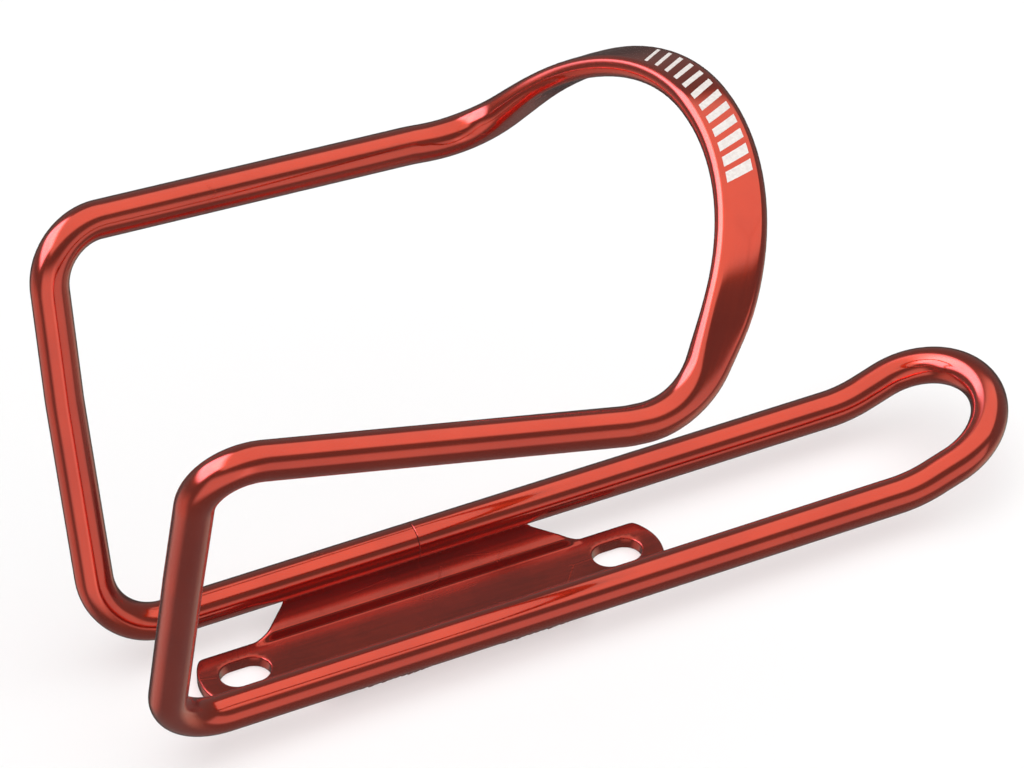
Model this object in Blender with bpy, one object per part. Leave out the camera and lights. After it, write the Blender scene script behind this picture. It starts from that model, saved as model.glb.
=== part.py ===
"""Water bottle cage: one bent aluminium tube welded to a pressed mounting plate.

The origin is the middle of the plate's back face, halfway between the bolt slots.
+X runs along the bottle towards its neck, +Y across it, and +Z out of the bicycle's
frame towards the bottle. The cage mirrors in the plane Y = 0, apart from its seam.
"""

import math

import bmesh
import bpy
from mathutils import Vector

MM = 0.001
FIT_GAP = 0.3 * MM  # left between two pieces that touch

# Bottle
BOTTLE_RADIUS = 38.1 * MM
BOTTLE_STOP_X = -50.4 * MM  # the upright legs, which the bottle's base stands on

# Tube
TUBE_DIAMETER = 6.0 * MM
TUBE_WALL = 1.0 * MM
TUBE_SIDES = 12
SEAM_X = 2.0 * MM  # where the tube's two ends meet, on the rail at +Y
SPIGOT_LENGTH = 18.0 * MM

# Rails, and the raised lip that joins them
RAIL_Y = 11.9 * MM
LIP_RISE = 6.6 * MM
LIP_BEND_X = 79.0 * MM
LIP_BEND_RADIUS = 19.4 * MM
LIP_END_X = 97.0 * MM
LIP_END_RADIUS = 12.0 * MM

# Legs and arms. Angles go round the bottle from its side (0) to its front (90).
STOP_CORNER_RADIUS = 10.4 * MM
KNEE_X = 0.5 * MM  # forward of the bottle stop
KNEE_Y = 23.1 * MM
KNEE_HEIGHT = 38.9 * MM  # above the rails
KNEE_RADIUS = 28.7 * MM
ARM_CORNER_X = 1.5 * MM  # forward of the bottle stop
ARM_CORNER_ANGLE = 41.2
ARM_CORNER_REACH = 2.0 * MM  # tube's middle to the bottle's surface
ARM_CORNER_RADIUS = 8.8 * MM
ARM_END_X = 14.6 * MM
ARM_END_ANGLE = 23.5
ARM_END_REACH = 3.3 * MM
ARM_END_RADIUS = 14.5 * MM

# Hoop round the bottle's front, pressed flat into a band
HOOP_FOOT_X = 24.8 * MM
HOOP_FOOT_ANGLE = 21.9
HOOP_FOOT_REACH = 2.8 * MM
HOOP_FOOT_RADIUS = 13.9 * MM
HOOP_X = 45.5 * MM
SHOULDER_ANGLE = 59.0
SHOULDER_REACH = 7.5 * MM
SHOULDER_RADIUS = 38.0 * MM
CREST_REACH = 2.9 * MM
CREST_RADIUS = 20.0 * MM
BAND_THICKNESS = 3.5 * MM
BAND_WIDTH = 7.9 * MM
BAND_SQUARENESS = 3.2  # exponent of the band's outline; 2 is an ellipse
BAND_HALF_LENGTH = 36.0 * MM  # flat this far each way from the crest
BAND_FADE = 20.0 * MM  # and round again after this much more
BAND_STEP = 7.0 * MM

# Mounting plate
SHEET = 2.2 * MM
TAB_TO_RAIL = 1.5 * MM  # the tabs' top face lies this far below the rails
SLOT_SPACING = 64.0 * MM
SLOT_LENGTH = 8.2 * MM
SLOT_WIDTH = 5.6 * MM
SLOT_MARGIN = 3.3 * MM  # metal past each slot's end
TAB_HALF_WIDTH = 5.6 * MM
TAB_END_RADIUS = 9.0 * MM
TAB_END_FACETS = 9  # odd, so that one facet crosses the plate's middle
WING_HALF_LENGTH = 21.5 * MM
WING_CUT_LENGTH = 4.2 * MM  # along X, of the slanting cut down to the tab
WING_CORNER_RADIUS = 1.5 * MM
NOTCH_RADIUS = 2.0 * MM
CHANNEL_HALF_WIDTH = 4.3 * MM
CHANNEL_WALL_RUN = 0.7 * MM
CHANNEL_RISE = 1.45 * MM
WING_RISE = 0.45 * MM  # from the channel's edge out to the rail
CHANNEL_FADE = 3.0 * MM  # along X, from the full channel to the flat tab
FADE_LEAD = 0.75 * MM  # the fade starts this far before the wing's cut ends

# Weld beads under the rails
BEAD_RADIUS = 0.75 * MM
BEAD_LENGTH = 13.0 * MM
BEAD_SPACING = 24.0 * MM
BEAD_SIDES = 10
BEAD_END_ANGLES = (0, 30, 60)  # the rings that round a bead's end, up from its side

# Faceting and tolerances
ARC_STEP = math.radians(12)
SMOOTH_ANGLE = math.radians(50)
NO_TURN = 1e-4  # radians; a corner that turns less than this is straight
SAME_POINT = 0.01 * MM
CUT_MARGIN = 3.0 * MM  # a cutter reaches this far past the metal

tube_radius = TUBE_DIAMETER / 2
bore_radius = tube_radius - TUBE_WALL
rail_z = SHEET + TAB_TO_RAIL + tube_radius
bottle_z = rail_z + math.sqrt((BOTTLE_RADIUS + tube_radius) ** 2 - RAIL_Y**2)
wing_edge_z = SHEET + CHANNEL_RISE + WING_RISE
wing_edge_y = RAIL_Y - math.sqrt((tube_radius + FIT_GAP) ** 2 - (rail_z - wing_edge_z) ** 2)


def clear_scene():
    for obj in list(bpy.data.objects):
        bpy.data.objects.remove(obj)


def anodised(name, colour, roughness):
    material = bpy.data.materials.new(name)
    material.use_nodes = True
    shader = material.node_tree.nodes["Principled BSDF"]
    shader.inputs["Base Color"].default_value = (*colour, 1)
    shader.inputs["Metallic"].default_value = 1
    shader.inputs["Roughness"].default_value = roughness
    return material


def add_object(name, mesh_data, material):
    obj = bpy.data.objects.new(name, mesh_data)
    bpy.context.scene.collection.objects.link(obj)
    if material:
        obj.data.materials.append(material)
    return obj


def object_from_bmesh(name, shape, material=None):
    bmesh.ops.recalc_face_normals(shape, faces=shape.faces)
    mesh_data = bpy.data.meshes.new(name)
    shape.to_mesh(mesh_data)
    shape.free()
    mesh_data.shade_smooth()
    mesh_data.set_sharp_from_angle(angle=SMOOTH_ANGLE)
    return add_object(name, mesh_data, material)


def arc_round(before, corner, after, radius):
    """Points of the arc that rounds a corner, or the corner itself where it is straight."""
    back = (before - corner).normalized()
    ahead = (after - corner).normalized()
    turn = math.pi - back.angle(ahead)
    if turn < NO_TURN or not radius:
        return [corner]
    run = radius * math.tan(turn / 2)
    centre = corner + (back + ahead).normalized() * radius / math.cos(turn / 2)
    start = corner + back * run - centre
    side = -back * radius
    steps = max(2, math.ceil(turn / ARC_STEP))
    angles = [turn * i / steps for i in range(steps + 1)]
    return [centre + start * math.cos(a) + side * math.sin(a) for a in angles]


def arc_run(before, corner, after, radius):
    """How far from its corner an arc starts."""
    turn = math.pi - (before - corner).angle(after - corner)
    return radius * math.tan(turn / 2)


def fitting_radii(corners):
    """Each corner's radius, made smaller where two arcs would overlap on their side."""
    count = len(corners)
    places = [point for point, _ in corners]
    runs = [
        arc_run(places[i - 1], places[i], places[(i + 1) % count], corners[i][1])
        for i in range(count)
    ]
    shares = [1.0] * count
    for i in range(count):
        k = (i + 1) % count
        wanted = runs[i] + runs[k]
        side = (places[k] - places[i]).length
        if wanted > side:
            shares[i] = min(shares[i], side / wanted)
            shares[k] = min(shares[k], side / wanted)
    return [radius * share for (_, radius), share in zip(corners, shares)]


def rounded_loop(corners):
    """A closed outline through (point, radius) corners. Radius 0 keeps one sharp."""
    points = []
    for i, radius in enumerate(fitting_radii(corners)):
        after = corners[(i + 1) % len(corners)][0]
        points += arc_round(corners[i - 1][0], corners[i][0], after, radius)
    return points


def around_bottle(x, angle, reach):
    """The point at this angle round the bottle, this far out from its surface."""
    angle = math.radians(angle)
    radius = BOTTLE_RADIUS + reach
    return Vector((x, radius * math.cos(angle), bottle_z + radius * math.sin(angle)))


def mirrored(corners):
    return [(Vector((p.x, -p.y, p.z)), radius) for p, radius in reversed(corners)]


def centreline():
    """The tube's middle line, from its seam round the hoop and the lip to its seam."""
    knee_x = BOTTLE_STOP_X + KNEE_X
    arm_corner_x = BOTTLE_STOP_X + ARM_CORNER_X
    side = [
        (Vector((BOTTLE_STOP_X, RAIL_Y, rail_z)), STOP_CORNER_RADIUS),
        (Vector((knee_x, KNEE_Y, rail_z + KNEE_HEIGHT)), KNEE_RADIUS),
        (around_bottle(arm_corner_x, ARM_CORNER_ANGLE, ARM_CORNER_REACH), ARM_CORNER_RADIUS),
        (around_bottle(ARM_END_X, ARM_END_ANGLE, ARM_END_REACH), ARM_END_RADIUS),
        (around_bottle(HOOP_FOOT_X, HOOP_FOOT_ANGLE, HOOP_FOOT_REACH), HOOP_FOOT_RADIUS),
        (around_bottle(HOOP_X, SHOULDER_ANGLE, SHOULDER_REACH), SHOULDER_RADIUS),
    ]
    crest = [(around_bottle(HOOP_X, 90, CREST_REACH), CREST_RADIUS)]
    lip = [
        (Vector((LIP_END_X, RAIL_Y, rail_z + LIP_RISE)), LIP_END_RADIUS),
        (Vector((LIP_BEND_X, RAIL_Y, rail_z)), LIP_BEND_RADIUS),
    ]
    end_x = FIT_GAP / 2
    start = [(Vector((SEAM_X - end_x, RAIL_Y, rail_z)), 0)]
    finish = [(Vector((SEAM_X + end_x, RAIL_Y, rail_z)), 0)]
    corners = start + side + crest + mirrored(side) + mirrored(lip) + lip + finish
    return with_band_points(merged(rounded_loop(corners)))


def merged(points):
    """The path without points that lie on the one before."""
    kept = [points[0]]
    for point in points[1:]:
        if (point - kept[-1]).length > SAME_POINT:
            kept.append(point)
    return kept


def distances(points):
    """How far along the path each point lies from the hoop's crest."""
    travelled = [0.0]
    for a, b in zip(points, points[1:]):
        travelled.append(travelled[-1] + (b - a).length)
    front = [i for i, point in enumerate(points) if point.z > bottle_z]
    crest = min(front, key=lambda i: abs(points[i].y))
    return [distance - travelled[crest] for distance in travelled]


def with_band_points(points):
    """The path with more points where the tube is flattened or fading."""
    reach = BAND_HALF_LENGTH + BAND_FADE
    places = distances(points)
    result = [points[0]]
    for i in range(1, len(points)):
        gap = points[i] - points[i - 1]
        near = abs(places[i]) < reach or abs(places[i - 1]) < reach
        parts = max(1, round(gap.length / BAND_STEP)) if near else 1
        result += [points[i - 1] + gap * k / parts for k in range(1, parts + 1)]
    return result


def directions(points):
    """The path's direction at each point, halfway between its two neighbours."""
    ways = [(b - a).normalized() for a, b in zip(points, points[1:])]
    middle = [(a + b).normalized() for a, b in zip(ways, ways[1:])]
    return [ways[0]] + middle + [ways[-1]]


def flatness(distance):
    """How flat the tube is pressed: 1 on the band, 0 where it is round."""
    t = (abs(distance) - BAND_HALF_LENGTH) / BAND_FADE
    t = min(1, max(0, 1 - t))
    return t * t * (3 - 2 * t)


def section_radius(angle, flat, inset):
    """The section's radius at an angle from its thin direction, less a wall."""
    half_thick = tube_radius + (BAND_THICKNESS / 2 - tube_radius) * flat - inset
    half_wide = tube_radius + (BAND_WIDTH / 2 - tube_radius) * flat - inset
    power = 2 + (BAND_SQUARENESS - 2) * flat
    thin = abs(math.cos(angle) / half_thick) ** power
    wide = abs(math.sin(angle) / half_wide) ** power
    return (thin + wide) ** (-1 / power)


def rings(points, inset):
    """One ring of points round the path at each of its points."""
    across = Vector((0, 1, 0))
    made = []
    for point, way, distance in zip(points, directions(points), distances(points)):
        across = (across - way * across.dot(way)).normalized()
        other = way.cross(across)
        outward = Vector((0, point.y, point.z - bottle_z))
        phase = math.atan2(outward.dot(other), outward.dot(across))
        ring = []
        for k in range(TUBE_SIDES):
            angle = 2 * math.pi * k / TUBE_SIDES
            radius = section_radius(angle - phase, flatness(distance), inset)
            ring.append(point + (across * math.cos(angle) + other * math.sin(angle)) * radius)
        made.append(ring)
    return made


def skin(shape, loops):
    """Faces between each loop of vertices and the next."""
    for one, two in zip(loops, loops[1:]):
        for k in range(len(one)):
            after = (k + 1) % len(one)
            shape.faces.new((one[k], one[after], two[after], two[k]))


def make_tube(material):
    """The whole bent tube, hollow, with its two ends open at the seam."""
    points = centreline()
    shape = bmesh.new()
    outer = [[shape.verts.new(p) for p in ring] for ring in rings(points, 0)]
    inner = [[shape.verts.new(p) for p in ring] for ring in rings(points, TUBE_WALL)]
    skin(shape, outer + inner[::-1] + outer[:1])
    return object_from_bmesh("cage_tube", shape, material)


def make_rod(name, radius, length, sides, material, dome=0.0):
    """A round bar along X about the origin. A dome rounds its ends over that length."""
    ends = [(length / 2, 1.0)]
    if dome:
        ends = [
            (length / 2 - dome * (1 - math.sin(math.radians(a))), math.cos(math.radians(a)))
            for a in BEAD_END_ANGLES
        ]
    stations = [(-x, share) for x, share in reversed(ends)] + ends
    shape = bmesh.new()
    loops = []
    for x, share in stations:
        angles = [2 * math.pi * k / sides for k in range(sides)]
        loop = [(x, radius * share * math.cos(a), radius * share * math.sin(a)) for a in angles]
        loops.append([shape.verts.new(p) for p in loop])
    skin(shape, loops)
    shape.faces.new(loops[0])
    shape.faces.new(loops[-1])
    return object_from_bmesh(name, shape, material)


def make_spigot(material):
    """The plug inside the tube that lines its two ends up."""
    spigot = make_rod("joint_spigot", bore_radius - FIT_GAP, SPIGOT_LENGTH, TUBE_SIDES, material)
    spigot.location = (SEAM_X, RAIL_Y, rail_z)
    return spigot


def plate_outline():
    """The trimmed outline of the plate, seen from the bottle."""
    centre_x = SLOT_SPACING / 2 + SLOT_LENGTH / 2 + SLOT_MARGIN - TAB_END_RADIUS
    widest = math.asin(TAB_HALF_WIDTH / TAB_END_RADIUS)
    angles = [widest * k / TAB_END_FACETS for k in range(1, TAB_END_FACETS + 1, 2)]
    quarter = [
        (centre_x + TAB_END_RADIUS * math.cos(a), TAB_END_RADIUS * math.sin(a), 0) for a in angles
    ]
    quarter += [
        (WING_HALF_LENGTH + WING_CUT_LENGTH, TAB_HALF_WIDTH, NOTCH_RADIUS),
        (WING_HALF_LENGTH, wing_edge_y, WING_CORNER_RADIUS),
    ]
    half = quarter + [(-x, y, radius) for x, y, radius in reversed(quarter)]
    whole = half + [(x, -y, radius) for x, y, radius in reversed(half)]
    return [(Vector((x, y, 0)), radius) for x, y, radius in whole]


def slot_outline(middle):
    """A slot along X with round ends."""
    radius = SLOT_WIDTH / 2
    end_x = SLOT_LENGTH / 2 - radius
    steps = math.ceil(math.pi / ARC_STEP)
    points = []
    for side in (1, -1):
        for k in range(steps + 1):
            angle = math.pi * (k / steps - 1 / 2)
            x = middle + side * (end_x + radius * math.cos(angle))
            points.append(Vector((x, side * radius * math.sin(angle), 0)))
    return points


def channel_profile(depth):
    """Half of the plate's section as (y, z), with the channel pressed to this depth."""
    wall_end = CHANNEL_HALF_WIDTH + CHANNEL_WALL_RUN
    edge = wing_edge_y + FIT_GAP  # trimmed back to the outline afterwards
    low = CHANNEL_RISE * depth
    high = (CHANNEL_RISE + WING_RISE) * depth
    bend = SHEET / 2 * depth  # the sheet keeps its thickness through the channel's wall
    top = [(0, SHEET), (CHANNEL_HALF_WIDTH, SHEET), (wall_end, SHEET + low), (edge, SHEET + high)]
    bottom = [(edge, high), (wall_end + bend, low), (CHANNEL_HALF_WIDTH + bend, 0), (0, 0)]
    return top + bottom


def pressed_sheet(material):
    """The sheet after pressing and before trimming: a channel that flattens at both ends."""
    full_x = WING_HALF_LENGTH + WING_CUT_LENGTH - FADE_LEAD
    end_x = SLOT_SPACING / 2 + SLOT_LENGTH + SLOT_MARGIN
    stations = [(full_x, 1), (full_x + CHANNEL_FADE, 0), (end_x, 0)]
    stations = [(-x, depth) for x, depth in reversed(stations)] + stations
    shape = bmesh.new()
    loops = []
    for x, depth in stations:
        half = channel_profile(depth)
        top, bottom = half[:4], half[4:]
        loop = [(x, -y, z) for y, z in reversed(top[1:])] + [(x, y, z) for y, z in top]
        loop += [(x, y, z) for y, z in bottom]
        loop += [(x, -y, z) for y, z in reversed(bottom[:-1])]
        loops.append([shape.verts.new(p) for p in loop])
    skin(shape, loops)
    shape.faces.new(loops[0])
    shape.faces.new(loops[-1])
    bmesh.ops.triangulate(shape, faces=shape.faces)
    return object_from_bmesh("mounting_plate", shape, material)


def cutter(name, outline):
    """A hidden prism on an outline, right through the plate, for a Boolean to cut with."""
    below, above = -CUT_MARGIN, wing_edge_z + CUT_MARGIN
    shape = bmesh.new()
    face = shape.faces.new([shape.verts.new((p.x, p.y, below)) for p in outline])
    raised = bmesh.ops.extrude_face_region(shape, geom=[face])
    lifted = [v for v in raised["geom"] if isinstance(v, bmesh.types.BMVert)]
    bmesh.ops.translate(shape, verts=lifted, vec=(0, 0, above - below))
    obj = object_from_bmesh(name, shape)
    obj.hide_render = True
    obj.display_type = "WIRE"
    return obj


def cut(obj, tool, operation):
    modifier = obj.modifiers.new(tool.name, "BOOLEAN")
    modifier.operation = operation
    modifier.solver = "EXACT"
    modifier.object = tool


def make_plate(material):
    plate = pressed_sheet(material)
    cut(plate, cutter("plate_trim", rounded_loop(plate_outline())), "INTERSECT")
    for side, name in ((-1, "lower"), (1, "upper")):
        slot = slot_outline(side * SLOT_SPACING / 2)
        cut(plate, cutter(f"{name}_slot_cut", slot), "DIFFERENCE")
    return plate


def make_beads(material):
    """Four beads, each in the corner between a wing's edge and the rail above it."""
    bead_y = wing_edge_y + FIT_GAP + BEAD_RADIUS
    reach = tube_radius + FIT_GAP + BEAD_RADIUS
    bead_z = rail_z - math.sqrt(reach**2 - (RAIL_Y - bead_y) ** 2)
    for end, end_name in ((-1, "lower"), (1, "upper")):
        for side, side_name in ((-1, "right"), (1, "left")):
            name = f"weld_{end_name}_{side_name}"
            bead = make_rod(name, BEAD_RADIUS, BEAD_LENGTH, BEAD_SIDES, material, BEAD_RADIUS)
            bead.location = (end * BEAD_SPACING / 2, side * bead_y, bead_z)


def main():
    clear_scene()
    make_tube(anodised("red_anodised_tube", (0.62, 0.045, 0.03), 0.2))
    make_spigot(anodised("bare_aluminium", (0.75, 0.75, 0.76), 0.4))
    make_plate(anodised("red_anodised_plate", (0.36, 0.03, 0.03), 0.3))
    make_beads(anodised("red_anodised_weld", (0.4, 0.04, 0.035), 0.45))


main()
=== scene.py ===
"""Water bottle cage: one bent, red anodised tube on a pressed mounting plate.

Metres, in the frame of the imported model: +X along the bottle towards its neck, +Y
across it, and +Z out of the bicycle's frame. Angles are in degrees.
"""

import math

import bmesh
import bpy
import numpy as np
from mathutils import Matrix, Vector
from mathutils.geometry import delaunay_2d_cdt

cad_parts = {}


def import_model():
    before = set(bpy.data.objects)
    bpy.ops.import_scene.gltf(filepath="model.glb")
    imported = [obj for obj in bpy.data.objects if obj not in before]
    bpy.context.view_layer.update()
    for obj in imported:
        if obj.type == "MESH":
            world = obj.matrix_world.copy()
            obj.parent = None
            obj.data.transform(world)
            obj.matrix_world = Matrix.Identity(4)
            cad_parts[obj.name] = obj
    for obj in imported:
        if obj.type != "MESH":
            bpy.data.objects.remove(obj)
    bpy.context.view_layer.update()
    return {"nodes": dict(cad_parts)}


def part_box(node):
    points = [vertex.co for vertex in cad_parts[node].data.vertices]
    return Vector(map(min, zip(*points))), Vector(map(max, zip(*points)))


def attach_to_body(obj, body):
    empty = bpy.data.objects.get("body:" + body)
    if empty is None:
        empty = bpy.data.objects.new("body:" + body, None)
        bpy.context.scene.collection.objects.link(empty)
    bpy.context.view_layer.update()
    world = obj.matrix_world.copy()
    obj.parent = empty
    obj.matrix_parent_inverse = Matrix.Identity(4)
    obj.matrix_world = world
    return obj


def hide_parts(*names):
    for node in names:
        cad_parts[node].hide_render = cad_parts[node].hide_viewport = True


MM = 0.001

# Bottle
BOTTLE_RADIUS = 38.1 * MM
BOTTLE_STOP_X = -50.4 * MM

# Tube
TUBE_DIAMETER = 6.0 * MM
TUBE_WALL = 1.0 * MM
TUBE_SIDES = 84
SEAM_X = 2.0 * MM
SEAM_GAP = 0.10 * MM
SEAM_CHAMFER = 0.07 * MM
ARC_STEP = 3.0
STRAIGHT_STEP = 2.5 * MM
NO_TURN = 1e-4  # radians; a corner that turns less than this is straight
SAME_POINT = 0.01 * MM
TUBE_CREASE = 40.0  # edges sharper than this, at the seam, aren't shaded smooth

# Rails and lip
RAIL_Y = 11.9 * MM
RAIL_Z = 6.7 * MM
LIP_RISE = 6.6 * MM
LIP_BEND_X = 79.0 * MM
LIP_BEND_RADIUS = 19.4 * MM
LIP_END_X = 97.0 * MM
LIP_END_RADIUS = 12.0 * MM

# Legs, arms and hoop: x, angle round the bottle, reach from its surface, bend radius
STOP_CORNER_RADIUS = 10.4 * MM
KNEE_X = 0.5 * MM
KNEE_Y = 23.1 * MM
KNEE_HEIGHT = 38.9 * MM
KNEE_RADIUS = 28.7 * MM
ARM_CORNER = (BOTTLE_STOP_X + 1.5 * MM, 41.2, 2.0 * MM, 8.8 * MM)
ARM_END = (14.6 * MM, 23.5, 3.3 * MM, 14.5 * MM)
HOOP_FOOT = (24.8 * MM, 21.9, 2.8 * MM, 13.9 * MM)
HOOP_SHOULDER = (45.5 * MM, 59.0, 7.5 * MM, 38.0 * MM)
HOOP_CREST = (45.5 * MM, 90.0, 2.9 * MM, 20.0 * MM)

# Band pressed into the hoop
BAND_THICKNESS = 3.5 * MM
BAND_WIDTH = 7.9 * MM
BAND_FLATNESS = 0.30  # share of the section's turn that its flat faces take
BAND_HALF_LENGTH = 36.0 * MM
BAND_FADE = 20.0 * MM

# Mounting plate
SHEET = 2.2 * MM
SLOT_SPACING = 64.0 * MM
SLOT_LENGTH = 8.2 * MM
SLOT_WIDTH = 5.6 * MM
SLOT_MARGIN = 3.3 * MM
TAB_HALF_WIDTH = 5.6 * MM
TAB_END_RADIUS = 9.0 * MM
TAB_END_FACETS = 27  # odd, so that one facet crosses the plate's middle
WING_HALF_LENGTH = 20.8 * MM
WING_CUT_LENGTH = 4.9 * MM
WING_CORNER_RADIUS = 1.5 * MM
WING_EDGE_Y = 10.58 * MM  # where the sheet meets the underside of the rail
NOTCH_RADIUS = 2.0 * MM
CHANNEL_HALF_WIDTH = 4.3 * MM
CHANNEL_WALL_RUN = 0.7 * MM
CHANNEL_RISE = 1.45 * MM
WING_RISE = 0.515 * MM
CHANNEL_FADE_X = (24.6 * MM, 28.4 * MM)
FILLET_Y = (9.5 * MM, 10.05 * MM)  # solder climbs from the wing to the rail between these
FILLET_RISE = 0.32 * MM
BEND_SOFTNESS = 0.18 * MM
EDGE_ROUNDING = 0.34 * MM
OUTLINE_STEP = 0.3 * MM
OUTLINE_PASSES = 5  # of smoothing, which break the trimmed corners
SLOT_PASSES = 1
NEAR_ROUND = 0.999  # keeps a slot's arcs from sharing their ends
PLATE_CREASE = 45.0

# Rows and columns of points over the plate, in mm from its middle, closer where it bends
FLAT_ROWS = (0.0, 1.2, 2.4)
BEND_ROWS = np.arange(3.3, 6.5, 0.13)
WING_ROWS = (7.4, 8.3, 9.2, 9.45, 9.6, 9.72, 9.84, 9.95, 10.05)
CHANNEL_COLUMNS = np.arange(0, 24.0, 1.3)
FADE_COLUMNS = np.arange(24.2, 28.9, 0.35)
TAB_COLUMNS = np.arange(29.5, 40, 1.1)
RIM_CLEARANCE = 0.12 * MM  # between those points and the rounding of the edges

# Weld beads under the rails
BEAD_RADIUS = 1.0 * MM
BEAD_LENGTH = 13.0 * MM
RIPPLE_PITCH = 1.1 * MM
RIPPLE_DEPTH = 0.16
BEAD_RINGS = 170
BEAD_SIDES = 22
BEAD_TIP = 0.12  # a bead's ends close in to this share of its radius
FIRST_BEAD_SEED = 3
BEAD_MERGE = 0.001 * MM  # points of a bead nearer than this become one

# Printed bars on the band
MARK_START = -13.2 * MM
MARK_BARS = 12
MARK_PITCH = 2.72 * MM
MARK_BAR_LENGTH = 1.6 * MM
MARK_TURN = 0.185  # half the bars' height, as a share of the section's turn
MARK_SLANT = 0.5
MARK_LIFT = 0.012 * MM
MARK_THICKNESS = 0.03 * MM
MARK_SHORTEST = 0.45  # the first bar, as a share of the bar length
MARK_GROWTH = 0.75  # and how much of it the bars gain by the end
MARK_GUIDE_REACH = 22.0 * MM
MARK_CREASE = 50.0

# Camera
CAMERA_TARGET = Vector((13.99, 0.0, 42.88)) * MM
CAMERA_AZIMUTH = -25.07
CAMERA_ELEVATION = 39.2
CAMERA_ROLL = -0.63
CAMERA_DISTANCE = 828.46 * MM
CAMERA_LENS = 191.18
SENSOR_WIDTH = 36.0
CLIP_RANGE = (0.01, 100.0)

tube_radius = TUBE_DIAMETER / 2
bottle_z = RAIL_Z + math.sqrt((BOTTLE_RADIUS + tube_radius) ** 2 - RAIL_Y**2)


# ---------------------------------------------------------------- node helpers


def fill(tree, socket, value):
    """Gives a socket a value, or the output of another node."""
    if isinstance(value, bpy.types.NodeSocket):
        tree.links.new(value, socket)
    else:
        socket.default_value = value


def put(tree, kind, settings=(), **inputs):
    """Adds a node. Inputs are given by socket name, with _ for a space."""
    node = tree.nodes.new(kind)
    for name, value in dict(settings).items():
        setattr(node, name, value)
    for name, value in inputs.items():
        fill(tree, node.inputs[name.replace("_", " ")], value)
    return node


def sums(tree, operation, *values, clamp=False):
    node = tree.nodes.new("ShaderNodeMath")
    node.operation = operation
    node.use_clamp = clamp
    for socket, value in zip(node.inputs, values):
        fill(tree, socket, value)
    return node.outputs[0]


def vectors(tree, operation, *values, scale=None):
    node = tree.nodes.new("ShaderNodeVectorMath")
    node.operation = operation
    for socket, value in zip(node.inputs, values):
        fill(tree, socket, value)
    if scale is not None:
        fill(tree, node.inputs["Scale"], scale)
    return node.outputs["Value" if operation in ("DOT_PRODUCT", "LENGTH") else "Vector"]


def fade(tree, value, low, high, from_value=0.0, to_value=1.0):
    """Runs smoothly from one value to another as the input goes from low to high."""
    node = tree.nodes.new("ShaderNodeMapRange")
    node.interpolation_type = "SMOOTHSTEP"
    pairs = (
        ("Value", value),
        ("From Min", low),
        ("From Max", high),
        ("To Min", from_value),
        ("To Max", to_value),
    )
    for name, number in pairs:
        fill(tree, node.inputs[name], number)
    return node.outputs["Result"]


def new_group(name, kind, inputs, outputs):
    """A node group with named sockets, and its entry's outputs and its exit's inputs."""
    tree = bpy.data.node_groups.new(name, kind)
    for label, socket_type, value in inputs:
        socket = tree.interface.new_socket(label, in_out="INPUT", socket_type=socket_type)
        if value is not None:
            socket.default_value = value
    for label, socket_type in outputs:
        tree.interface.new_socket(label, in_out="OUTPUT", socket_type=socket_type)
    entry = tree.nodes.new("NodeGroupInput")
    leave = tree.nodes.new("NodeGroupOutput")
    return tree, entry.outputs, leave.inputs


def socket_id(tree, label):
    for item in tree.interface.items_tree:
        if item.item_type == "SOCKET" and item.in_out == "INPUT" and item.name == label:
            return item.identifier
    raise KeyError(label)


def grow(name, mesh_data, tree, values):
    """Runs a Geometry Nodes tree on a mesh and returns its result as a plain object."""
    seed = bpy.data.objects.new(name + "_seed", mesh_data)
    bpy.context.scene.collection.objects.link(seed)
    modifier = seed.modifiers.new("grow", "NODES")
    modifier.node_group = tree
    for label, value in values.items():
        modifier[socket_id(tree, label)] = value
    bpy.context.view_layer.update()
    ready = seed.evaluated_get(bpy.context.evaluated_depsgraph_get())
    result = bpy.data.meshes.new_from_object(ready)
    result.name = name
    seed.modifiers.clear()
    bpy.data.objects.remove(seed)
    obj = bpy.data.objects.new(name, result)
    bpy.context.scene.collection.objects.link(obj)
    return obj


def face_outwards(obj, merge=0.0):
    shape = bmesh.new()
    shape.from_mesh(obj.data)
    if merge:
        bmesh.ops.remove_doubles(shape, verts=shape.verts, dist=merge)
    bmesh.ops.recalc_face_normals(shape, faces=shape.faces)
    shape.to_mesh(obj.data)
    shape.free()


def attach(piece, node):
    """Fixes a piece to the cage, in place of a CAD node where it has one."""
    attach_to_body(piece, "root")
    if node:
        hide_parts(node)


# ---------------------------------------------------------------- tube path


def arc_round(before, corner, after, radius):
    """Points of the arc that rounds a corner."""
    back = (before - corner).normalized()
    ahead = (after - corner).normalized()
    turn = math.pi - back.angle(ahead)
    if turn < NO_TURN or not radius:
        return [corner]
    run = radius * math.tan(turn / 2)
    centre = corner + (back + ahead).normalized() * radius / math.cos(turn / 2)
    start = corner + back * run - centre
    side = -back * radius
    steps = max(2, math.ceil(turn / math.radians(ARC_STEP)))
    angles = [turn * i / steps for i in range(steps + 1)]
    return [centre + start * math.cos(a) + side * math.sin(a) for a in angles]


def arc_run(before, corner, after, radius):
    turn = math.pi - (before - corner).angle(after - corner)
    return radius * math.tan(turn / 2)


def rounded_loop(corners):
    """A closed outline through (point, radius) corners, with arcs that never overlap."""
    count = len(corners)
    places = [point for point, _ in corners]
    runs = []
    for i in range(count):
        runs.append(arc_run(places[i - 1], places[i], places[(i + 1) % count], corners[i][1]))
    shares = [1.0] * count
    for i in range(count):
        k = (i + 1) % count
        wanted = runs[i] + runs[k]
        side = (places[k] - places[i]).length
        if wanted > side:
            shares[i] = min(shares[i], side / wanted)
            shares[k] = min(shares[k], side / wanted)
    points = []
    for i, (point, radius) in enumerate(corners):
        after = places[(i + 1) % count]
        points += arc_round(places[i - 1], point, after, radius * shares[i])
    return points


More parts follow.
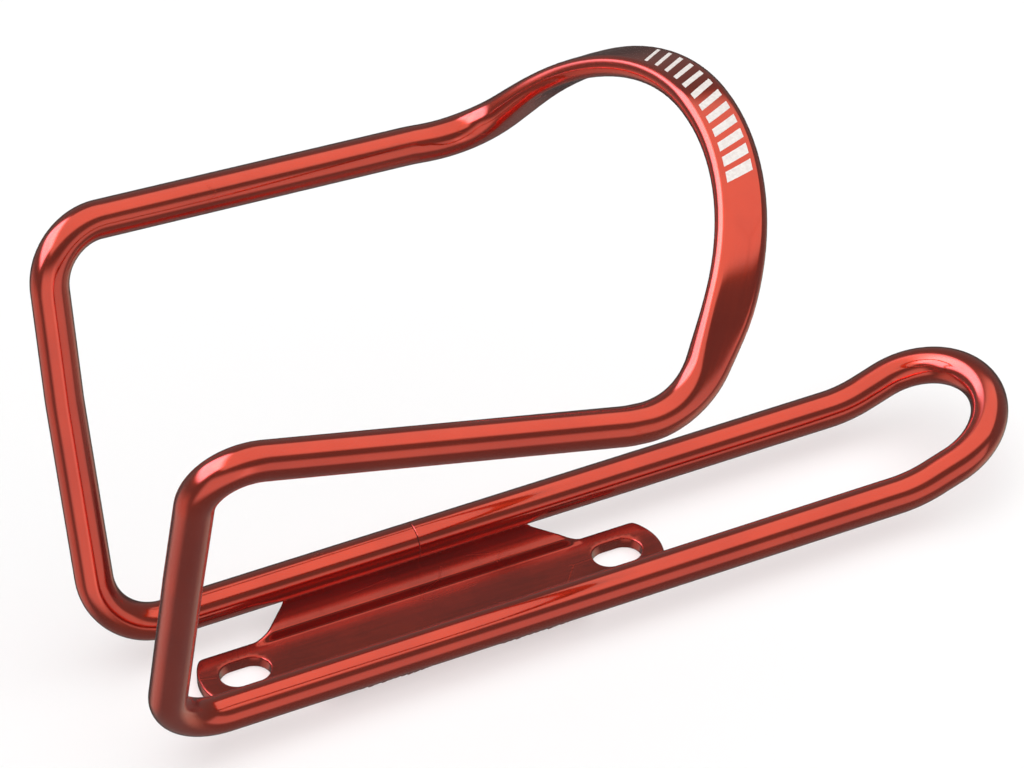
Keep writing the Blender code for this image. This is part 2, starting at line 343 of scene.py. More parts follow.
def around_bottle(x, angle, reach):
    angle = math.radians(angle)
    radius = BOTTLE_RADIUS + reach
    return Vector((x, radius * math.cos(angle), bottle_z + radius * math.sin(angle)))


def bend(place):
    x, angle, reach, radius = place
    return around_bottle(x, angle, reach), radius


def mirrored(corners):
    return [(Vector((p.x, -p.y, p.z)), radius) for p, radius in reversed(corners)]


def centreline():
    """The tube's middle line, from its seam round the hoop and the lip to its seam."""
    knee = Vector((BOTTLE_STOP_X + KNEE_X, KNEE_Y, RAIL_Z + KNEE_HEIGHT))
    side = [
        (Vector((BOTTLE_STOP_X, RAIL_Y, RAIL_Z)), STOP_CORNER_RADIUS),
        (knee, KNEE_RADIUS),
        bend(ARM_CORNER),
        bend(ARM_END),
        bend(HOOP_FOOT),
        bend(HOOP_SHOULDER),
    ]
    lip = [
        (Vector((LIP_END_X, RAIL_Y, RAIL_Z + LIP_RISE)), LIP_END_RADIUS),
        (Vector((LIP_BEND_X, RAIL_Y, RAIL_Z)), LIP_BEND_RADIUS),
    ]
    start = [(Vector((SEAM_X - SEAM_GAP / 2, RAIL_Y, RAIL_Z)), 0)]
    finish = [(Vector((SEAM_X + SEAM_GAP / 2, RAIL_Y, RAIL_Z)), 0)]
    crest = [bend(HOOP_CREST)]
    corners = start + side + crest + mirrored(side) + mirrored(lip) + lip + finish
    return spaced(rounded_loop(corners))


def spaced(points):
    """The path without doubled points, and with no long step along its straight runs."""
    result = [points[0]]
    for point in points[1:]:
        gap = point - result[-1]
        if gap.length < SAME_POINT:
            continue
        last = result[-1]
        parts = max(1, math.ceil(gap.length / STRAIGHT_STEP))
        result += [last + gap * k / parts for k in range(1, parts + 1)]
    return result


def path_stations():
    """Each point of the tube's path with its two cross directions and its place along it."""
    points = centreline()
    travelled = [0.0]
    for a, b in zip(points, points[1:]):
        travelled.append(travelled[-1] + (b - a).length)
    front = [i for i, point in enumerate(points) if point.z > bottle_z]
    crest = min(front, key=lambda i: abs(points[i].y))
    ways = [(b - a).normalized() for a, b in zip(points, points[1:])]
    middle = [(a + b).normalized() for a, b in zip(ways, ways[1:])]
    stations = []
    for point, way, place in zip(points, [ways[0]] + middle + [ways[-1]], travelled):
        outward = Vector((0, point.y, point.z - bottle_z))
        outward = (outward - way * outward.dot(way)).normalized()
        stations.append((point, outward, way.cross(outward), place - travelled[crest]))
    return stations


# ---------------------------------------------------------------- bent tube


def guide_mesh(name, rows, closed):
    """A chain of points that carry the path's directions to a Geometry Nodes tree."""
    mesh_data = bpy.data.meshes.new(name)
    edges = [(i, i + 1) for i in range(len(rows) - 1)]
    if closed:
        edges.append((len(rows) - 1, 0))
    mesh_data.from_pydata([row[0] for row in rows], edges, [])
    kinds = (("outward", "FLOAT_VECTOR", 1), ("sideways", "FLOAT_VECTOR", 2))
    for label, kind, column in kinds:
        attribute = mesh_data.attributes.new(label, kind, "POINT")
        flat = [number for row in rows for number in row[column]]
        attribute.data.foreach_set("vector", flat)
    for label, column in (("along", 3), ("inset", 4)):
        attribute = mesh_data.attributes.new(label, "FLOAT", "POINT")
        attribute.data.foreach_set("value", [row[column] for row in rows])
    return mesh_data


def named(tree, name, kind="FLOAT_VECTOR"):
    node = put(tree, "GeometryNodeInputNamedAttribute", {"data_type": kind}, Name=name)
    return node.outputs["Attribute"]


def store(tree, geometry, name, value, kind="FLOAT_VECTOR"):
    settings = {"data_type": kind, "domain": "POINT"}
    node = put(tree, "GeometryNodeStoreNamedAttribute", settings, Geometry=geometry, Name=name)
    fill(tree, node.inputs["Value"], value)
    return node.outputs["Geometry"]


def finish_tree(tree, geometry, material, leave):
    """Ends a tree: smooth faces, one material, no instances."""
    real = put(tree, "GeometryNodeRealizeInstances", Geometry=geometry).outputs["Geometry"]
    smooth = put(tree, "GeometryNodeSetShadeSmooth", Geometry=real).outputs["Geometry"]
    painted = put(tree, "GeometryNodeSetMaterial", Geometry=smooth, Material=material)
    tree.links.new(painted.outputs["Geometry"], leave["Geometry"])


def pressed_section_group():
    """A round section drawn out into two flat faces with round edges between them."""
    tree, entry, leave = new_group(
        "pressed_section",
        "GeometryNodeTree",
        [
            ("Out Share", "NodeSocketFloat", 1.0),
            ("Side Share", "NodeSocketFloat", 0.0),
            ("Half Thickness", "NodeSocketFloat", 0.003),
            ("Half Width", "NodeSocketFloat", 0.003),
            ("Inset", "NodeSocketFloat", 0.0),
            ("Flatness", "NodeSocketFloat", 0.3),
        ],
        [("Out", "NodeSocketFloat"), ("Aside", "NodeSocketFloat")],
    )
    edge = sums(tree, "SUBTRACT", entry["Half Thickness"], entry["Inset"])
    drawn = sums(tree, "SUBTRACT", entry["Half Width"], entry["Half Thickness"])
    turn = sums(tree, "DIVIDE", entry["Side Share"], entry["Flatness"])
    turn = sums(tree, "MAXIMUM", sums(tree, "MINIMUM", turn, 1.0), -1.0)
    square = sums(tree, "MULTIPLY", turn, turn)
    eased = sums(tree, "MULTIPLY", turn, sums(tree, "SUBTRACT", 1.5, sums(tree, "MULTIPLY", square, 0.5)))
    tree.links.new(sums(tree, "MULTIPLY", entry["Out Share"], edge), leave["Out"])
    aside = sums(tree, "MULTIPLY", entry["Side Share"], edge)
    aside = sums(tree, "ADD", aside, sums(tree, "MULTIPLY", drawn, eased))
    tree.links.new(aside, leave["Aside"])
    return tree


def use_section(tree, section, **inputs):
    node = tree.nodes.new("GeometryNodeGroup")
    node.node_tree = section
    for name, value in inputs.items():
        fill(tree, node.inputs[name.replace("_", " ")], value)
    return node.outputs


def bent_tube_tree(section):
    """Sweeps a round section along a guide and presses it flat near the guide's middle."""
    tree, entry, leave = new_group(
        "bent_tube",
        "GeometryNodeTree",
        [
            ("Geometry", "NodeSocketGeometry", None),
            ("Sides", "NodeSocketInt", 48),
            ("Tube Diameter", "NodeSocketFloat", 0.006),
            ("Band Thickness", "NodeSocketFloat", 0.0035),
            ("Band Width", "NodeSocketFloat", 0.008),
            ("Flatness", "NodeSocketFloat", 0.3),
            ("Band Half Length", "NodeSocketFloat", 0.036),
            ("Band Fade", "NodeSocketFloat", 0.02),
            ("Material", "NodeSocketMaterial", None),
        ],
        [("Geometry", "NodeSocketGeometry")],
    )
    curve = put(tree, "GeometryNodeMeshToCurve", Mesh=entry["Geometry"]).outputs["Curve"]
    position = put(tree, "GeometryNodeInputPosition").outputs["Position"]
    curve = store(tree, curve, "middle", position)
    circle = put(tree, "GeometryNodeCurvePrimitiveCircle", Resolution=entry["Sides"], Radius=1.0)
    circle = store(tree, circle.outputs["Curve"], "round", position)
    swept = put(tree, "GeometryNodeCurveToMesh", Curve=curve, Profile_Curve=circle)

    near = sums(tree, "ABSOLUTE", named(tree, "along", "FLOAT"))
    end = sums(tree, "ADD", entry["Band Half Length"], entry["Band Fade"])
    flat = fade(tree, near, entry["Band Half Length"], end, 1.0, 0.0)
    radius = sums(tree, "MULTIPLY", entry["Tube Diameter"], 0.5)

    def half_size(pressed):
        half = sums(tree, "MULTIPLY", pressed, 0.5)
        change = sums(tree, "MULTIPLY", sums(tree, "SUBTRACT", half, radius), flat)
        return sums(tree, "ADD", radius, change)

    turn = put(tree, "ShaderNodeSeparateXYZ", Vector=named(tree, "round")).outputs
    shape = use_section(
        tree,
        section,
        Out_Share=turn["X"],
        Side_Share=turn["Y"],
        Half_Thickness=half_size(entry["Band Thickness"]),
        Half_Width=half_size(entry["Band Width"]),
        Inset=named(tree, "inset", "FLOAT"),
        Flatness=entry["Flatness"],
    )
    out = vectors(tree, "SCALE", named(tree, "outward"), scale=shape["Out"])
    aside = vectors(tree, "SCALE", named(tree, "sideways"), scale=shape["Aside"])
    step = vectors(tree, "ADD", out, aside)
    place = vectors(tree, "ADD", named(tree, "middle"), step)
    moved = put(tree, "GeometryNodeSetPosition", Geometry=swept.outputs["Mesh"], Position=place)
    wrap = put(
        tree,
        "ShaderNodeCombineXYZ",
        X=sums(tree, "MULTIPLY", turn["X"], radius),
        Y=sums(tree, "MULTIPLY", turn["Y"], radius),
        Z=named(tree, "along", "FLOAT"),
    )
    result = store(tree, moved.outputs["Geometry"], "wrap", wrap.outputs["Vector"])
    finish_tree(tree, result, entry["Material"], leave)
    return tree


def drop_attributes(obj, names):
    for name in names:
        attribute = obj.data.attributes.get(name)
        if attribute:
            obj.data.attributes.remove(attribute)


def make_tube(stations, section, material):
    """The whole bent tube, hollow, with a small chamfer on each of its two ends."""
    first = [(*stations[0], SEAM_CHAMFER)]
    last = [(*stations[-1], SEAM_CHAMFER)]

    def stepped_in(station, towards):
        way = (towards[0] - station[0]).normalized() * SEAM_CHAMFER
        return (station[0] + way, station[1], station[2], station[3], 0.0)

    outer = first + [stepped_in(stations[0], stations[1])]
    outer += [(*station, 0.0) for station in stations[1:-1]]
    outer += [stepped_in(stations[-1], stations[-2])] + last
    inner = [(*station, TUBE_WALL) for station in reversed(stations)]
    tube = grow(
        "bent_tube",
        guide_mesh("tube_guide", outer + inner, closed=True),
        bent_tube_tree(section),
        {
            "Sides": TUBE_SIDES,
            "Tube Diameter": TUBE_DIAMETER,
            "Band Thickness": BAND_THICKNESS,
            "Band Width": BAND_WIDTH,
            "Flatness": BAND_FLATNESS,
            "Band Half Length": BAND_HALF_LENGTH,
            "Band Fade": BAND_FADE,
            "Material": material,
        },
    )
    drop_attributes(tube, ("middle", "round", "outward", "sideways", "along", "inset"))
    face_outwards(tube)
    tube.data.set_sharp_from_angle(angle=math.radians(TUBE_CREASE))
    return tube


# ---------------------------------------------------------------- mounting plate


def smoothed(outline, passes):
    """The closed outline at even small steps, with its corners eased."""
    length = sum((b - a).length for a, b in zip(outline, outline[1:] + outline[:1]))
    count = round(length / OUTLINE_STEP)
    points = np.array([tuple(p) for p in outline + outline[:1]])[:, :2]
    gaps = np.hypot(*np.diff(points, axis=0).T)
    places = np.concatenate([[0], np.cumsum(gaps)])
    wanted = np.linspace(0, places[-1], count, endpoint=False)
    ring = np.stack([np.interp(wanted, places, points[:, k]) for k in (0, 1)], axis=1)
    for _ in range(passes):
        ring = ring / 2 + (np.roll(ring, 1, axis=0) + np.roll(ring, -1, axis=0)) / 4
    return ring


def plate_outline():
    centre_x = SLOT_SPACING / 2 + SLOT_LENGTH / 2 + SLOT_MARGIN - TAB_END_RADIUS
    widest = math.asin(TAB_HALF_WIDTH / TAB_END_RADIUS)
    quarter = []
    for k in range(1, TAB_END_FACETS + 1, 2):
        a = widest * k / TAB_END_FACETS
        x = centre_x + TAB_END_RADIUS * math.cos(a)
        quarter.append((x, TAB_END_RADIUS * math.sin(a), 0))
    quarter += [
        (WING_HALF_LENGTH + WING_CUT_LENGTH, TAB_HALF_WIDTH, NOTCH_RADIUS),
        (WING_HALF_LENGTH, WING_EDGE_Y, WING_CORNER_RADIUS),
    ]
    half = quarter + [(-x, y, radius) for x, y, radius in reversed(quarter)]
    whole = half + [(x, -y, radius) for x, y, radius in reversed(half)]
    corners = [(Vector((x, y, 0)), radius) for x, y, radius in whole]
    return smoothed(rounded_loop(corners), OUTLINE_PASSES)


def slot_outline(middle):
    half_x, half_y = SLOT_LENGTH / 2, SLOT_WIDTH / 2
    corners = [(half_x, half_y), (-half_x, half_y), (-half_x, -half_y), (half_x, -half_y)]
    radius = half_y * NEAR_ROUND
    loop = rounded_loop([(Vector((middle + x, y, 0)), radius) for x, y in corners])
    return smoothed(loop, SLOT_PASSES)


def offset_ring(ring, distance):
    """The ring moved sideways: inwards by a positive distance, if it runs anticlockwise."""
    way = np.roll(ring, -1, axis=0) - np.roll(ring, 1, axis=0)
    way /= np.hypot(*way.T)[:, None]
    return ring + np.stack([-way[:, 1], way[:, 0]], axis=1) * distance


def anticlockwise(ring):
    x, y = ring.T
    area = np.sum(x * np.roll(y, -1) - np.roll(x, -1) * y)
    return ring if area > 0 else ring[::-1]


def ring_distance(points, ring):
    """How far each point lies from a closed outline."""
    start = ring[None, :, :]
    side = np.roll(ring, -1, axis=0)[None, :, :] - start
    away = points[:, None, :] - start
    share = np.clip((away * side).sum(2) / (side**2).sum(2), 0, 1)
    return np.sqrt((((away - side * share[:, :, None]) ** 2).sum(2)).min(1))


def inside_ring(points, ring):
    x, y = points[:, 0][:, None], points[:, 1][:, None]
    x1, y1 = ring.T
    x2, y2 = np.roll(ring, -1, axis=0).T
    spans = (y1 <= y) != (y2 <= y)
    rise = np.where(y2 == y1, 1e-12, y2 - y1)
    crossing = x1 + (y - y1) / rise * (x2 - x1)
    return ((spans & (x < crossing)).sum(1) % 2) == 1


def soft_profile(y, corners):
    """Height at y of a bent sheet's face, with its bends eased over a small width."""
    places = [c[0] for c in corners]
    heights = [c[1] for c in corners]
    shifts = np.linspace(-1, 1, 9)
    weights = 1.0 - np.abs(shifts) * 0.9
    total = 0
    for shift, weight in zip(shifts, weights):
        total = total + weight * np.interp(y + shift * BEND_SOFTNESS, places, heights)
    return total / weights.sum()


def plate_faces(x, y):
    """Heights of the pressed plate's top and bottom faces at each place."""
    low, high = CHANNEL_FADE_X
    t = np.clip((high - np.abs(x)) / (high - low), 0, 1)
    depth = t * t * (3 - 2 * t)
    y = np.abs(y)
    wall_end = CHANNEL_HALF_WIDTH + CHANNEL_WALL_RUN
    wing = CHANNEL_RISE + WING_RISE
    edge = WING_EDGE_Y
    top = [(-edge, 0), (CHANNEL_HALF_WIDTH, 0), (wall_end, CHANNEL_RISE), (edge, wing)]
    shift = SHEET / 2
    bottom = [(-edge, 0), (CHANNEL_HALF_WIDTH + shift, 0)]
    bottom += [(wall_end + shift, CHANNEL_RISE), (edge, wing)]
    start, end = FILLET_Y
    fillet = FILLET_RISE * np.clip((y - start) / (end - start), 0, 1) ** 2
    return SHEET + depth * (soft_profile(y, top) + fillet), depth * soft_profile(y, bottom)


def inner_grid(outline, slots, clear):
    """Points over the plate, closer together where it bends, and none near its edges."""
    half_width = np.concatenate([FLAT_ROWS, BEND_ROWS, WING_ROWS]) * MM
    half_length = np.concatenate([CHANNEL_COLUMNS, FADE_COLUMNS, TAB_COLUMNS]) * MM
    across = np.unique(np.concatenate([-half_width, half_width]))
    along = np.unique(np.concatenate([-half_length, half_length]))
    grid = np.array([(x, y) for x in along for y in across])
    grid = grid[inside_ring(grid, outline)]
    for ring in [outline] + slots:
        grid = grid[ring_distance(grid, ring) > clear]
    for ring in slots:
        grid = grid[~inside_ring(grid, ring)]
    return grid


def make_plate(material):
    """The pressed sheet with its channel, wings, tabs and slots, and softly broken edges."""
    outline = anticlockwise(plate_outline())
    slots = [anticlockwise(slot_outline(side * SLOT_SPACING / 2)) for side in (-1, 1)]
    turns = [math.radians(a) for a in (0, 30, 60, 90)]
    offsets = [EDGE_ROUNDING * (1 - math.cos(a)) for a in turns]
    points, edges = [], []

    def add_ring(ring):
        first = len(points)
        points.extend(ring.tolist())
        edges.extend((first + i, first + (i + 1) % len(ring)) for i in range(len(ring)))

    for offset in offsets:
        add_ring(offset_ring(outline, offset))
        for slot in slots:
            add_ring(offset_ring(slot, -offset))
    points.extend(inner_grid(outline, slots, EDGE_ROUNDING + RIM_CLEARANCE).tolist())
    scale = 1 / MM  # the triangulation works in millimetres
    flat = [Vector((x * scale, y * scale)) for x, y in points]
    verts, _, faces, *_ = delaunay_2d_cdt(flat, edges, [], 0, 1e-5)
    places = np.array([tuple(v) for v in verts]) / scale
    middles = np.array([places[list(face)].mean(0) for face in faces])
    keep = inside_ring(middles, outline)
    for slot in slots:
        keep &= ~inside_ring(middles, slot)
    faces = [face for face, kept in zip(faces, keep) if kept]

    nearest = np.min([ring_distance(places, ring) for ring in [outline] + slots], axis=0)
    inward = np.clip(1 - nearest / EDGE_ROUNDING, 0, 1)
    drop = EDGE_ROUNDING * (1 - np.sqrt(1 - inward**2))
    top, bottom = plate_faces(places[:, 0], places[:, 1])
    shape = bmesh.new()
    upper = [shape.verts.new((x, y, z)) for (x, y), z in zip(places, top - drop)]
    lower = [shape.verts.new((x, y, z)) for (x, y), z in zip(places, bottom + drop)]
    sides = {}
    for face in faces:
        shape.faces.new([upper[i] for i in face])
        shape.faces.new([lower[i] for i in reversed(face)])
        for a, b in zip(face, face[1:] + face[:1]):
            if (b, a) in sides:
                del sides[(b, a)]
            else:
                sides[(a, b)] = True
    for a, b in sides:
        shape.faces.new((upper[b], upper[a], lower[a], lower[b]))
    loose = [v for v in shape.verts if not v.link_faces]
    bmesh.ops.delete(shape, geom=loose, context="VERTS")
    bmesh.ops.recalc_face_normals(shape, faces=shape.faces)
    mesh_data = bpy.data.meshes.new("pressed_plate")
    shape.to_mesh(mesh_data)
    shape.free()
    mesh_data.shade_smooth()
    mesh_data.set_sharp_from_angle(angle=math.radians(PLATE_CREASE))
    mesh_data.materials.append(material)
    plate = bpy.data.objects.new("pressed_plate", mesh_data)
    bpy.context.scene.collection.objects.link(plate)
    return plate


# ---------------------------------------------------------------- weld beads


def weld_bead_tree():
    """A run of weld metal along X with one ripple for each dab of the torch."""
    tree, entry, leave = new_group(
        "weld_bead",
        "GeometryNodeTree",
        [
            ("Geometry", "NodeSocketGeometry", None),
            ("Centre", "NodeSocketVector", None),
            ("Length", "NodeSocketFloat", 0.013),
            ("Bead Radius", "NodeSocketFloat", 0.001),
            ("Ripple Pitch", "NodeSocketFloat", 0.0011),
            ("Ripple Depth", "NodeSocketFloat", 0.15),
            ("Unevenness", "NodeSocketFloat", 0.06),
            ("Tip", "NodeSocketFloat", 0.12),
            ("Rings", "NodeSocketInt", 170),
            ("Sides", "NodeSocketInt", 22),
            ("Seed", "NodeSocketInt", 1),
            ("Material", "NodeSocketMaterial", None),
        ],
        [("Geometry", "NodeSocketGeometry")],
    )
    half = sums(tree, "MULTIPLY", entry["Length"], 0.5)
    start = put(tree, "ShaderNodeCombineXYZ", X=sums(tree, "MULTIPLY", half, -1.0))
    end = put(tree, "ShaderNodeCombineXYZ", X=half)
    line = put(
        tree,
        "GeometryNodeCurvePrimitiveLine",
        Start=vectors(tree, "ADD", start.outputs["Vector"], entry["Centre"]),
        End=vectors(tree, "ADD", end.outputs["Vector"], entry["Centre"]),
    )
    line = put(tree, "GeometryNodeResampleCurve", Curve=line.outputs["Curve"], Count=entry["Rings"])
    along = put(tree, "GeometryNodeSplineParameter").outputs
    phase = sums(tree, "DIVIDE", along["Length"], entry["Ripple Pitch"])
    wave = sums(tree, "FRACT", phase)
    crest = sums(tree, "SQRT", sums(tree, "SUBTRACT", 1.0, sums(tree, "MULTIPLY", wave, wave)))
    dip = sums(tree, "MULTIPLY", sums(tree, "SUBTRACT", 1.0, crest), entry["Ripple Depth"])
    dab = sums(tree, "FLOOR", phase)
    chance = put(
        tree,
        "FunctionNodeRandomValue",
        {"data_type": "FLOAT"},
        ID=dab,
        Seed=entry["Seed"],
    )
    chance.inputs[2].default_value = -1.0
    chance.inputs[3].default_value = 1.0
    uneven = sums(tree, "MULTIPLY", chance.outputs[1], entry["Unevenness"])
    body = sums(tree, "ADD", sums(tree, "SUBTRACT", 1.0, dip), uneven)
    from_middle = sums(tree, "ABSOLUTE", sums(tree, "SUBTRACT", along["Length"], half))
    from_end = sums(tree, "SUBTRACT", half, from_middle)
    taper = sums(tree, "DIVIDE", from_end, entry["Bead Radius"], clamp=True)
    taper = sums(tree, "SUBTRACT", 1.0, sums(tree, "POWER", sums(tree, "SUBTRACT", 1.0, taper), 2.0))
    taper = sums(tree, "MAXIMUM", sums(tree, "SQRT", taper), entry["Tip"])
    size = sums(tree, "MULTIPLY", sums(tree, "MULTIPLY", body, taper), entry["Bead Radius"])
    circle = put(tree, "GeometryNodeCurvePrimitiveCircle", Resolution=entry["Sides"], Radius=1.0)
    swept = put(
        tree,
        "GeometryNodeCurveToMesh",
        Curve=line.outputs["Curve"],
        Profile_Curve=circle.outputs["Curve"],
        Scale=size,
        Fill_Caps=True,
    )
    finish_tree(tree, swept.outputs["Mesh"], entry["Material"], leave)
    return tree


def make_welds(material):
    """A bead in the place of each weld's plain bar."""
    tree = weld_bead_tree()
    corners = [(end, side) for end in ("lower", "upper") for side in ("left", "right")]
    for number, (end, side) in enumerate(corners):
        node = f"weld_{end}_{side}"
        low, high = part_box(node)
        blank = bpy.data.meshes.new(node + "_blank")
        bead = grow(
            f"bead_{end}_{side}",
            blank,
            tree,
            {
                "Centre": (low + high) / 2,
                "Length": BEAD_LENGTH,
                "Bead Radius": BEAD_RADIUS,
                "Ripple Pitch": RIPPLE_PITCH,
                "Ripple Depth": RIPPLE_DEPTH,
                "Tip": BEAD_TIP,
                "Rings": BEAD_RINGS,
                "Sides": BEAD_SIDES,
                "Seed": FIRST_BEAD_SEED + number,
                "Material": material,
            },
        )
        face_outwards(bead, merge=BEAD_MERGE)
        attach(bead, node)


# ---------------------------------------------------------------- printed bars


def printed_bars_tree(section):
    """Slanted bars laid along the pressed band, each longer than the one before."""
    tree, entry, leave = new_group(
        "printed_bars",
        "GeometryNodeTree",
        [
            ("Geometry", "NodeSocketGeometry", None),
            ("Bars", "NodeSocketInt", 9),
            ("Start", "NodeSocketFloat", -0.014),
            ("Guide Start", "NodeSocketFloat", -0.02),
            ("Pitch", "NodeSocketFloat", 0.0034),
            ("Bar Length", "NodeSocketFloat", 0.002),
            ("Shortest", "NodeSocketFloat", 0.45),
            ("Growth", "NodeSocketFloat", 0.75),
            ("Bar Turn", "NodeSocketFloat", 0.19),
            ("Slant", "NodeSocketFloat", 0.4),
            ("Band Thickness", "NodeSocketFloat", 0.0035),
            ("Band Width", "NodeSocketFloat", 0.008),
            ("Flatness", "NodeSocketFloat", 0.3),
            ("Lift", "NodeSocketFloat", 0.00002),
            ("Ink Thickness", "NodeSocketFloat", 0.00003),
            ("Material", "NodeSocketMaterial", None),
        ],
        [("Geometry", "NodeSocketGeometry")],
    )
    curve = put(tree, "GeometryNodeMeshToCurve", Mesh=entry["Geometry"]).outputs["Curve"]
    places = put(
        tree,
        "GeometryNodeMeshLine",
        Count=entry["Bars"],
        Start_Location=put(tree, "ShaderNodeCombineXYZ", X=entry["Start"]).outputs["Vector"],
        Offset=put(tree, "ShaderNodeCombineXYZ", X=entry["Pitch"]).outputs["Vector"],
    )
    bar = put(
        tree,
        "GeometryNodeMeshGrid",
        Size_X=entry["Bar Length"],
        Size_Y=sums(tree, "MULTIPLY", entry["Bar Turn"], 2.0),
        Vertices_X=6,
        Vertices_Y=13,
    )
    number = put(tree, "GeometryNodeInputIndex").outputs["Index"]
    share = sums(tree, "DIVIDE", number, entry["Bars"])
    length = sums(tree, "ADD", sums(tree, "MULTIPLY", share, entry["Growth"]), entry["Shortest"])
    spread = put(
        tree,
        "GeometryNodeInstanceOnPoints",
        Points=places.outputs["Mesh"],
        Instance=bar.outputs["Mesh"],
        Scale=put(tree, "ShaderNodeCombineXYZ", X=length, Y=1.0, Z=1.0).outputs["Vector"],
    )
    real = put(tree, "GeometryNodeRealizeInstances", Geometry=spread.outputs["Instances"])
    flat = put(tree, "ShaderNodeSeparateXYZ", Vector=put(tree, "GeometryNodeInputPosition").outputs[0])
    side_share = flat.outputs["Y"]
    square = sums(tree, "MULTIPLY", side_share, side_share)
    shape = use_section(
        tree,
        section,
        Out_Share=sums(tree, "SQRT", sums(tree, "SUBTRACT", 1.0, square)),
        Side_Share=side_share,
        Half_Thickness=sums(tree, "MULTIPLY", entry["Band Thickness"], 0.5),
        Half_Width=sums(tree, "MULTIPLY", entry["Band Width"], 0.5),
        Inset=sums(tree, "MULTIPLY", entry["Lift"], -1.0),
        Flatness=entry["Flatness"],
    )
    aside = shape["Aside"]
    along = sums(tree, "ADD", flat.outputs["X"], sums(tree, "MULTIPLY", aside, entry["Slant"]))
    travelled = sums(tree, "SUBTRACT", along, entry["Guide Start"])

    def sampled(value):
        node = put(
            tree,
            "GeometryNodeSampleCurve",
            {"data_type": "FLOAT_VECTOR", "mode": "LENGTH", "use_all_curves": True},
            Curves=curve,
            Length=travelled,
        )
        fill(tree, node.inputs["Value"], value)
        return node.outputs

    middle = sampled(named(tree, "outward"))
    out = vectors(tree, "SCALE", middle["Value"], scale=shape["Out"])
    across = vectors(tree, "SCALE", sampled(named(tree, "sideways"))["Value"], scale=aside)
    place = vectors(tree, "ADD", vectors(tree, "ADD", middle["Position"], out), across)
    moved = put(tree, "GeometryNodeSetPosition", Geometry=real.outputs["Geometry"], Position=place)
    raised = put(
        tree,
        "GeometryNodeExtrudeMesh",
        {"mode": "FACES"},
        Mesh=moved.outputs["Geometry"],
        Offset_Scale=entry["Ink Thickness"],
        Individual=False,
    )
    under = put(tree, "GeometryNodeFlipFaces", Mesh=moved.outputs["Geometry"])
    both = put(tree, "GeometryNodeJoinGeometry")
    tree.links.new(raised.outputs["Mesh"], both.inputs["Geometry"])
    tree.links.new(under.outputs["Mesh"], both.inputs["Geometry"])
    finish_tree(tree, both.outputs["Geometry"], entry["Material"], leave)
    return tree


def make_mark(stations, section, material):
    """The printed bars, on the stretch of the tube's path that the band follows."""
    rows = [(*station, 0.0) for station in stations if abs(station[3]) < MARK_GUIDE_REACH]
    mark = grow(
        "printed_bars",
        guide_mesh("mark_guide", rows, closed=False),
        printed_bars_tree(section),
        {
            "Bars": MARK_BARS,
            "Start": MARK_START,
            "Guide Start": rows[0][3],
            "Pitch": MARK_PITCH,
            "Bar Length": MARK_BAR_LENGTH,
            "Shortest": MARK_SHORTEST,
            "Growth": MARK_GROWTH,
            "Bar Turn": MARK_TURN,
            "Slant": MARK_SLANT,
            "Band Thickness": BAND_THICKNESS,
            "Band Width": BAND_WIDTH,
            "Flatness": BAND_FLATNESS,
            "Lift": MARK_LIFT,
            "Ink Thickness": MARK_THICKNESS,
            "Material": material,
        },
    )
    face_outwards(mark, merge=0.001 * MM)
    drop_attributes(mark, ("outward", "sideways", "along", "inset"))
    mark.data.set_sharp_from_angle(angle=math.radians(MARK_CREASE))
    return mark


# ---------------------------------------------------------------- finishes

# A metal's dye where light and where deep, the size of its patches, its grain and scuffs,
# and its clear skin. Grain and scuff sizes run across, across and along the piece.
HAZE_ROUGHNESS = 0.6  # of the faint milky veil that the oxide skin lays over the dye
HAZE_TINT = (0.90, 0.78, 0.70, 1)
SCRATCH_WIDTH = 0.02  # as a share of the cells whose borders they follow
SCRATCH_ROUGHNESS = 0.35  # what a full scratch adds
GRAIN_DEPTH = 0.02 * MM
TUBE_LOOK = {
    "light": (0.80, 0.055, 0.018),
    "deep": (0.71, 0.044, 0.015),
    "patch": 14 * MM,
    "grain": (0.22 * MM, 0.22 * MM, 14 * MM),
    "rough": (0.15, 0.21),
    "scuff": 0.25,
    "scuff_stretch": (5 * MM, 5 * MM, 22 * MM),
    "coat": 1.0,
    "coat_ior": 1.68,
    "coat_rough": 0.05,
    "haze": 0.05,
    "bump": 0.1,
}
# The plate's light and deep dye are set darker than the tube's. This is painted shade, standing in for
# the dimmer light the plate gets under the tube.
PLATE_LOOK_WITH_PAINTED_SHADE = {
    "light": (0.58, 0.036, 0.014),
    "deep": (0.46, 0.027, 0.011),
    "patch": 9 * MM,
    "grain": (11 * MM, 0.25 * MM, 0.25 * MM),
    "rough": (0.17, 0.25),
    "scuff": 0.3,
    "scuff_stretch": (14 * MM, 4 * MM, 4 * MM),
    "coat": 0.8,
    "coat_ior": 1.6,
    "coat_rough": 0.12,
    "haze": 0.08,
    "bump": 0.2,
}
WELD_LOOK = {
    "light": (0.55, 0.055, 0.045),
    "deep": (0.34, 0.030, 0.028),
    "patch": 1.6 * MM,
    "grain": (0.5 * MM, 0.5 * MM, 0.5 * MM),
    "rough": (0.30, 0.46),
    "scuff": 0.0,
    "coat": 0.6,
    "coat_ior": 1.6,
    "coat_rough": 0.2,
    "haze": 0.12,
    "bump": 0.4,
}


